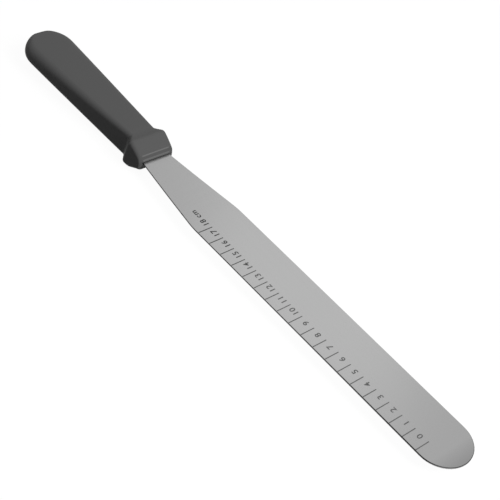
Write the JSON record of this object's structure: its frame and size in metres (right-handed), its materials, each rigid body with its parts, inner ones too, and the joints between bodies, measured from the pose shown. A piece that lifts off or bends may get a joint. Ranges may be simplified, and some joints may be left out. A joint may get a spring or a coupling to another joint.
{
  "type": "icing spatula",
  "caption": "Straight icing spatula: long flat steel blade with a half-round tip and a centimetre scale, its tang held in a flared black plastic handle, for spreading and smoothing.",
  "frame": {"origin": "middle of the whole tool's length and width, at the level of the guard's lowest point", "axes": "+X along the tool towards the blade's tip, +Z square to the blade's flat faces on the side with the scale, +Y across the blade"},
  "size_m": [0.3938, 0.035, 0.0194],
  "materials": {
    "stainless_steel": "fine satin, brushed along the blade",
    "black_plastic": "matt moulded polypropylene with a fine grain"
  },
  "bodies": {
    "root": {"blade": "stainless_steel", "handle": "black_plastic"}
  },
  "joints": []
}
